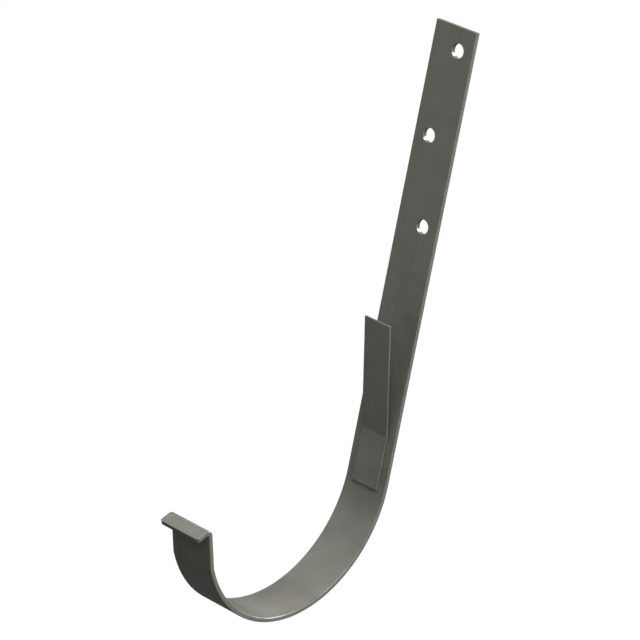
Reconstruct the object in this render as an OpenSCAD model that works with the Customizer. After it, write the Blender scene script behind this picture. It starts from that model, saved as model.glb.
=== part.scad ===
// Gutter bracket: a strap bracket that hangs a half-round rain gutter from a rafter, a fascia or the
// roof decking. One flat steel strip is folded into a leaning shank with three staggered screw holes,
// a half-round hook, a short front upright and a lip turned outwards under the gutter's bead. A thin
// tongue is lapped on the inside of the strip, its foot lying on it and its free end standing clear,
// ready to be bent over the gutter's rear edge.
//
// The origin is the centre of the gutter seat, halfway across the strip. +X points to the wall, +Z up,
// and the gutter runs along Y. All lengths are in millimetres and all angles in degrees.

/* [Strip] */
// Width of the strip, along the gutter
strap_w = 25.5; // [20:0.5:40]
// Thickness of the strip, with its coat
strap_t = 2.3; // [1.5:0.1:4]
// Rounding of the strip's long edges
strap_edge_r = 0.4; // [0.2:0.1:0.7]

/* [Shank] */
// Length of the straight shank, from the end of the hook to the cut end
shank_l = 227.5; // [180:0.5:320]
// Angle by which the shank leans back from the vertical
shank_lean = 15; // [0:0.5:30]

/* [Hook] */
// Inside radius of the half-round hook, which is the seat of the gutter
seat_r = 59; // [40:0.5:80]
// Angle of the sharper bend where the hook turns into the front upright
front_bend = 9; // [4:0.5:20]
// Inside radius of that bend
front_bend_r = 3; // [1:0.5:8]
// Length of the straight front upright
front_l = 18; // [8:0.5:40]
// Angle by which the front upright leans outwards
front_lean = 2; // [0:0.5:10]

/* [Lip] */
// Angle by which the lip droops below the horizontal
lip_droop = 14; // [0:0.5:30]
// Inside radius of the fold between the upright and the lip
lip_fold_r = 1.1; // [0.5:0.1:4]
// Straight length of the lip past the fold
lip_l = 5.6; // [4:0.1:20]
// Radius of the lip's two outer corners
lip_corner_r = 1.4; // [0.5:0.1:3]

/* [Screw holes] */
// Diameter of the screw holes
hole_d = 7.2; // [4:0.1:9]
// Number of screw holes
hole_count = 3; // [1:1:4]
// Distance from the cut end of the shank to the first hole
hole_first = 11.2; // [8:0.1:20]
// Distance from one hole to the next, along the shank
hole_pitch = 43.5; // [15:0.5:50]
// Distance of each hole from the middle of the strip, on alternate sides
hole_stagger = 3.5; // [0:0.1:5]

/* [Tongue] */
// Width of the tongue
tongue_w = 16.5; // [10:0.5:20]
// Thickness of the tongue, with its coat
tongue_t = 1; // [0.6:0.1:1.5]
// Length of the tongue's foot below the top of the hook, on the curve of the seat
tongue_toe = 4; // [1:0.5:10]
// Length of the tongue's foot above the top of the hook, flat on the shank
tongue_foot = 22.8; // [15:0.1:40]
// Length of the tongue's free end
tongue_free = 60.2; // [30:0.1:80]
// Angle by which the free end leans back from the vertical
tongue_lean = 1.5; // [-10:0.5:14]
// Inside radius of the bend between the foot and the free end
tongue_bend_r = 2; // [1:0.5:10]
// Rounding of the tongue's long edges
tongue_edge_r = 0.2; // [0.1:0.05:0.25]

/* [Hidden] */
$fn = 96;
graphite = [0.34, 0.34, 0.33];
// The hook takes up what the shank, the front bend and the upright leave of the half turn
hook_sweep = 180 - shank_lean - front_lean - front_bend;
// The lip is folded back from the upright, past the horizontal
lip_fold = 90 - front_lean + lip_droop;
// The toe's length is measured on the face that touches the seat
toe_sweep = tongue_toe / seat_r * 180 / PI;
tongue_bend = shank_lean - tongue_lean;
// What a drill passes beyond each face of the strip
drill_over = 1;
// The runs on either side of the front bend and of the lip's fold reach this far into them
lap = 0.05;
// and these two tight bends are this much fuller all round than the runs that end inside them
swell = 0.01;

// Cross-section of a flat strip with rounded long edges: its gutter face lies on x = 0 and its back on
// x = t, and its width runs along y
module strip_section(w, t, r) {
    translate([r, -w / 2]) square([t - 2 * r, w]);
    translate([0, -w / 2 + r]) square([t, w - 2 * r]);
    for (x = [r, t - r], y = [r - w / 2, w / 2 - r])
        translate([x, y]) circle(r);
}

// A bend of inside radius bend_r about the origin, from x = bend_r towards +Z
module turn(w, t, r, bend_r, angle) {
    rotate([90, 0, 0]) rotate_extrude(angle = angle)
        translate([bend_r, 0]) strip_section(w, t, r);
}

// A tight bend, a little fuller than the strip
module tight_turn(bend_r, angle) {
    turn(strap_w + 2 * swell, strap_t + 2 * swell, strap_edge_r + swell, bend_r - swell, angle);
}

// Puts its children at the far end of a bend towards the gutter face that starts at z = 0
module past_bend_in(bend_r, angle) {
    translate([-bend_r, 0, 0]) rotate([0, -angle, 0]) translate([bend_r, 0, 0]) children();
}

// The same for a bend towards the back of a strip of thickness t
module past_bend_out(t, bend_r, angle) {
    translate([t + bend_r, 0, 0]) rotate([0, angle, 0]) translate([-t - bend_r, 0, 0]) children();
}

// The end of the lip, a straight run whose two far corners are rounded off
module lip_end() {
    intersection() {
        translate([0, 0, -lap]) linear_extrude(lip_l + lap) strip_section(strap_w, strap_t, strap_edge_r);
        rotate([0, 90, 0]) linear_extrude(strap_t) lip_outline();
    }
}

// Outline of the lip seen square on, from the fold at x = 0 to the free edge at x = -lip_l
module lip_outline() {
    translate([-lip_l + lip_corner_r, -strap_w / 2]) square([lip_l - lip_corner_r + lap, strap_w]);
    translate([-lip_l, -strap_w / 2 + lip_corner_r]) square([lip_l + lap, strap_w - 2 * lip_corner_r]);
    for (side = [-1, 1])
        translate([-lip_l + lip_corner_r, side * (strap_w / 2 - lip_corner_r)]) circle(lip_corner_r);
}

// Puts its children where the hook passes into the shank: their +Z runs up the shank, and x = 0 is
// the strip's gutter face
module at_hook_top() {
    rotate([0, shank_lean, 0]) translate([seat_r, 0, 0]) children();
}

// Drills for the staggered screw holes, square to the shank
module screw_hole_drills() {
    for (i = [0 : hole_count - 1])
        translate([-drill_over, (i % 2 == 0 ? -1 : 1) * hole_stagger, shank_l - hole_first - i * hole_pitch])
            rotate([0, 90, 0]) cylinder(d = hole_d, h = strap_t + 2 * drill_over);
}

// The half-round hook, from z = 0 round to the front bend
module hook() {
    translate([-seat_r, 0, 0])
        turn(strap_w, strap_t, strap_edge_r, seat_r, hook_sweep + lap / seat_r * 180 / PI);
}

// The front bend, the upright, the fold and the lip
module front() {
    translate([-front_bend_r, 0, 0]) tight_turn(front_bend_r, front_bend);
    past_bend_in(front_bend_r, front_bend) {
        translate([0, 0, -lap]) linear_extrude(front_l + 2 * lap) strip_section(strap_w, strap_t, strap_edge_r);
        translate([0, 0, front_l]) {
            translate([strap_t + lip_fold_r, 0, 0]) mirror([1, 0, 0]) tight_turn(lip_fold_r, lip_fold);
            past_bend_out(strap_t, lip_fold_r, lip_fold) lip_end();
        }
    }
}

// The folded strip, in one piece from the shank's cut end to the tip of the lip
module strap() {
    color(graphite) at_hook_top() difference() {
        union() {
            linear_extrude(shank_l) strip_section(strap_w, strap_t, strap_edge_r);
            mirror([0, 0, 1]) {
                hook();
                past_bend_in(seat_r, hook_sweep) front();
            }
        }
        screw_hole_drills();
    }
}

// The thin retaining tongue: its toe follows the seat, its foot lies flat on the shank, and its free
// end is bent forward to stand almost upright
module tongue() {
    color(graphite) at_hook_top() translate([-tongue_t, 0, 0]) {
        mirror([0, 0, 1]) translate([tongue_t - seat_r, 0, 0])
            turn(tongue_w, tongue_t, tongue_edge_r, seat_r - tongue_t, toe_sweep);
        linear_extrude(tongue_foot) strip_section(tongue_w, tongue_t, tongue_edge_r);
        translate([0, 0, tongue_foot]) {
            translate([-tongue_bend_r, 0, 0])
                turn(tongue_w, tongue_t, tongue_edge_r, tongue_bend_r, tongue_bend);
            past_bend_in(tongue_bend_r, tongue_bend)
                linear_extrude(tongue_free) strip_section(tongue_w, tongue_t, tongue_edge_r);
        }
    }
}

strap();
tongue();
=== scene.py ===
"""A strap bracket for a half-round gutter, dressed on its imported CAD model."""
import math

import bpy
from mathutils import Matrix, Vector


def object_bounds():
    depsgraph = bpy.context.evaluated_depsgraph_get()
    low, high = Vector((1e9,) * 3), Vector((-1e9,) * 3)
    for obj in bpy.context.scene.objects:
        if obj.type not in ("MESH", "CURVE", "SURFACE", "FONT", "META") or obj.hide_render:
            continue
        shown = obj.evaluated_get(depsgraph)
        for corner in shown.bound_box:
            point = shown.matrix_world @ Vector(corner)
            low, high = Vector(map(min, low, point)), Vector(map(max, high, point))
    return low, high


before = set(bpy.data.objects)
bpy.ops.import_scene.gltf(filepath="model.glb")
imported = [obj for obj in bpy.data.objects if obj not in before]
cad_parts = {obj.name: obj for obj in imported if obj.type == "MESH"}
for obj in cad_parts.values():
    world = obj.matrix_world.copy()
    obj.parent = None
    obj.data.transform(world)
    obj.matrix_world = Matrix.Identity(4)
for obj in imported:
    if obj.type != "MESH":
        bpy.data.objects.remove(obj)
cad_box = [list(corner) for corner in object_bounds()]
MM = 0.001


# Strap ---------------------------------------------------------------------------------------
# One flat steel strip, rolled with round long edges, punched while flat, bent cold into shank,
# hook, upright and lip, and then coated all over, in the holes too, with satin graphite powder.

class Field:
    """A value or colour in a material's node tree, which Python's operators build on."""

    def __init__(self, tree, socket):
        self.tree, self.socket = tree, socket

    def node(self, kind, settings=(), outlet=0, **links):
        """Adds a node of a kind, sets its settings, feeds its sockets and gives one of its outputs."""
        made = self.tree.nodes.new(kind)
        for name, value in dict(settings).items():
            setattr(made, name, value)
        for name, value in links.items():
            inlet = made.inputs[int(name[1:]) if name[1:].isdigit() else name.replace("_", " ")]
            if isinstance(value, Field):
                self.tree.links.new(value.socket, inlet)
            else:
                inlet.default_value = value
        return Field(self.tree, made.outputs[outlet])

    def maths(self, operation, *others, clamp=False):
        links = {f"i{k}": v for k, v in enumerate((self, *others))}
        return self.node("ShaderNodeMath", {"operation": operation, "use_clamp": clamp}, **links)

    def __add__(self, other):
        return self.maths("ADD", other)

    def __mul__(self, other):
        return self.maths("MULTIPLY", other)

    __radd__, __rmul__ = __add__, __mul__

    def fade(self, low, high):
        """0 below low and 1 above high, with a smooth step between."""
        return self.node("ShaderNodeMapRange", {"interpolation_type": "SMOOTHSTEP"},
                         Value=self, From_Min=low, From_Max=high, To_Min=0.0, To_Max=1.0)

    def mix(self, first, second):
        """first where the field is 0 and second where it is 1, as colours."""
        return self.node("ShaderNodeMix", {"data_type": "RGBA"}, outlet=2, i0=self, i6=first, i7=second)


class Finish:
    """A material with one Principled shader, and the object's own coordinates to draw on."""

    def __init__(self, name, **fixed):
        self.material = bpy.data.materials.new(name)
        self.material.use_nodes = True
        self.tree = self.material.node_tree
        self.shader = self.tree.nodes["Principled BSDF"]
        for socket, value in fixed.items():
            self.shader.inputs[socket.replace("_", " ")].default_value = value
        place = self.tree.nodes.new("ShaderNodeTexCoord")
        self.place = Field(self.tree, place.outputs["Object"])

    def noise(self, size, detail):
        """Noise whose patches are about size metres across."""
        return self.place.node("ShaderNodeTexNoise", Vector=self.place, Scale=1.0 / size, Detail=detail)

    def feed(self, **varying):
        for socket, field in varying.items():
            self.tree.links.new(field.socket, self.shader.inputs[socket.replace("_", " ")])

    def dress(self, *nodes):
        for node in nodes:
            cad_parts[node].data.materials.clear()
            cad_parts[node].data.materials.append(self.material)


GRAPHITE = (0.158, 0.155, 0.134, 1.0)
GRAPHITE_DARK = (0.144, 0.141, 0.122, 1.0)
MOTTLE_SIZE = 11.0 * MM
MOTTLE_EDGE = 0.15  # half the range of the mottle's noise over which one tone turns into the other
SATIN = 0.21
SATIN_MOTTLE = 0.08  # how much rougher the coat is at most where the mottle is high
PEEL_SIZE = 0.9 * MM
PEEL_HEIGHT = 0.03 * MM
PEEL_STRENGTH = 0.2
GRAIN_SIZE = 0.2 * MM
GRAIN_SHARE = 0.2  # of the relief, and the peel has the rest
COAT_IOR = 1.5


def powder_coat():
    """Satin powder coat: a faint mottle in its colour, and the fine orange peel that it cures with."""
    coat = Finish("graphite powder coat", IOR=COAT_IOR)
    mottle = coat.noise(MOTTLE_SIZE, detail=3.0)
    tone = mottle.fade(0.5 - MOTTLE_EDGE, 0.5 + MOTTLE_EDGE)
    peel = coat.noise(PEEL_SIZE, detail=2.0)
    grain = coat.noise(GRAIN_SIZE, detail=1.0)
    relief = peel * (1.0 - GRAIN_SHARE) + grain * GRAIN_SHARE
    bumps = relief.node("ShaderNodeBump", Height=relief, Strength=PEEL_STRENGTH, Distance=PEEL_HEIGHT)
    coat.feed(Base_Color=tone.mix(GRAPHITE_DARK, GRAPHITE), Roughness=SATIN + SATIN_MOTTLE * mottle,
              Normal=bumps)
    return coat


graphite_coat = powder_coat()
graphite_coat.dress("strap")


# Tongue --------------------------------------------------------------------------------------
# A thinner strip of the same steel, its foot spot-welded to the strap before both were coated.
# It is soft enough to be bent by hand over the gutter's rear edge.

graphite_coat.dress("tongue")


# Floor ---------------------------------------------------------------------------------------
# A plain white floor, well below the bracket. It glows where it is looked at and keeps the
# bracket's shadow, but throws little light back up at it.

FLOOR_HALF = 12.0
FLOOR_DROP = 1.6
FLOOR_COLOUR = (0.05, 0.05, 0.05, 1.0)
FLOOR_GLOW = 1.0
FLOOR_IN_GLOSS = 0.02


def seen(tree, in_gloss):
    """1 for a ray from the eye, straight or through something, and in_gloss for a reflected one."""
    ray = tree.nodes.new("ShaderNodeLightPath")
    straight = Field(tree, ray.outputs["Is Camera Ray"])
    through = Field(tree, ray.outputs["Is Transmission Ray"])
    mirrored = Field(tree, ray.outputs["Is Glossy Ray"])
    return (straight + through).maths("ADD", mirrored * in_gloss, clamp=True)


bpy.ops.mesh.primitive_plane_add(size=2 * FLOOR_HALF, location=(0.0, 0.0, cad_box[0][2] - FLOOR_DROP))
floor = bpy.context.object
floor.name = "floor"
paper = Finish("white paper", Base_Color=FLOOR_COLOUR, Roughness=0.9)
lit = Field(paper.tree, paper.shader.outputs[0])
glow = lit.node("ShaderNodeEmission", Strength=FLOOR_GLOW)
bright = lit.node("ShaderNodeAddShader", i0=lit, i1=glow)
shown = lit.node("ShaderNodeMixShader", i0=seen(paper.tree, FLOOR_IN_GLOSS), i1=lit, i2=bright)
paper.tree.links.new(shown.socket, paper.tree.nodes["Material Output"].inputs["Surface"])
floor.data.materials.append(paper.material)


# Light ---------------------------------------------------------------------------------------
# Large soft boxes, most of them over and to the right of the bracket, in a white room. A small
# fill lies low in front, and a glint stands at the right and back for the rims and the holes.

LAMPS = {  # name: direction from the bracket, width, and how brightly it lights a white card facing it
    "over": ((0.0, 0.0, 1.0), 1.4, 0.81),
    "over right": ((0.0, -1.0, 1.0), 1.4, 0.61),
    "over camera": ((-1.0, -1.0, 1.0), 1.4, 0.18),
    "over left": ((0.0, 1.0, 1.0), 1.4, 0.10),
    "over left and front": ((-1.0, 1.0, 1.0), 1.4, 0.062),
    "right": ((0.0, -1.0, 0.0), 1.0, 0.37),
    "right and back": ((0.89, -0.28, 0.37), 0.8, 1.3),
    "glint": ((0.93, -0.20, 0.30), 1.1, 1.5),
    "low left": ((-0.78, 0.62, -0.35), 0.4, 0.013),
    "low front": ((-0.72, 0.25, -0.65), 0.3, 0.13),
}
FILLS = {"low front"}  # not mirrored, because it is small and would glare in the flat shank
GLINTS = {"glint"}  # only mirrored, because it would light the flat faces too strongly
ROOM_LIGHT = 0.0
ROOM_IN_GLOSS = 0.25
LAMP_DISTANCE = 2.0
MIDDLE = Vector((0.03, 0.0, 0.03))
for name, (way, width, level) in LAMPS.items():
    lamp = bpy.data.lights.new(name, "AREA")
    lamp.shape, lamp.size = "DISK", width
    lamp.energy = level * (math.pi * LAMP_DISTANCE) ** 2
    holder = bpy.data.objects.new(name, lamp)
    way = Vector(way).normalized()
    holder.location = MIDDLE + way * LAMP_DISTANCE
    holder.rotation_mode = "QUATERNION"
    holder.rotation_quaternion = way.to_track_quat("Z", "Y")
    holder.visible_camera = False
    holder.visible_glossy = name not in FILLS
    holder.visible_diffuse = name not in GLINTS
    bpy.context.scene.collection.objects.link(holder)

room = bpy.data.worlds.new("white room")
room.use_nodes = True
bpy.context.scene.world = room
dim = Field(room.node_tree, room.node_tree.nodes["Background"].outputs[0])
room.node_tree.nodes["Background"].inputs["Color"].default_value = (1.0, 1.0, 1.0, 1.0)
room.node_tree.nodes["Background"].inputs["Strength"].default_value = ROOM_LIGHT
white = dim.node("ShaderNodeBackground", Color=(1.0, 1.0, 1.0, 1.0), Strength=1.0)
shown = dim.node("ShaderNodeMixShader", i0=seen(room.node_tree, ROOM_IN_GLOSS), i1=dim, i2=white)
room.node_tree.links.new(shown.socket, room.node_tree.nodes["World Output"].inputs["Surface"])


# Camera --------------------------------------------------------------------------------------
# Looks down on the bracket from the gutter side, a little right of its front. The long lens keeps
# the strip's two edges nearly parallel.

AZIMUTH, ELEVATION = math.radians(-45.465), math.radians(28.228)
AIM = Vector((0.03638, 0.01148, 0.07453))
DISTANCE = 1.700
SENSOR_MM, LENS_MM = 36.0, 202.3
back = Vector((math.sin(AZIMUTH) * math.cos(ELEVATION), -math.cos(AZIMUTH) * math.cos(ELEVATION),
               math.sin(ELEVATION)))
lens = bpy.data.cameras.new("camera")
lens.sensor_width, lens.lens = SENSOR_MM, LENS_MM
lens.clip_start, lens.clip_end = 0.1, 20.0
camera = bpy.data.objects.new("camera", lens)
camera.location = AIM + back * DISTANCE
camera.rotation_mode = "QUATERNION"
camera.rotation_quaternion = back.to_track_quat("Z", "Y")
bpy.context.scene.collection.objects.link(camera)
bpy.context.scene.camera = camera
bpy.context.scene.view_settings.view_transform = "Standard"
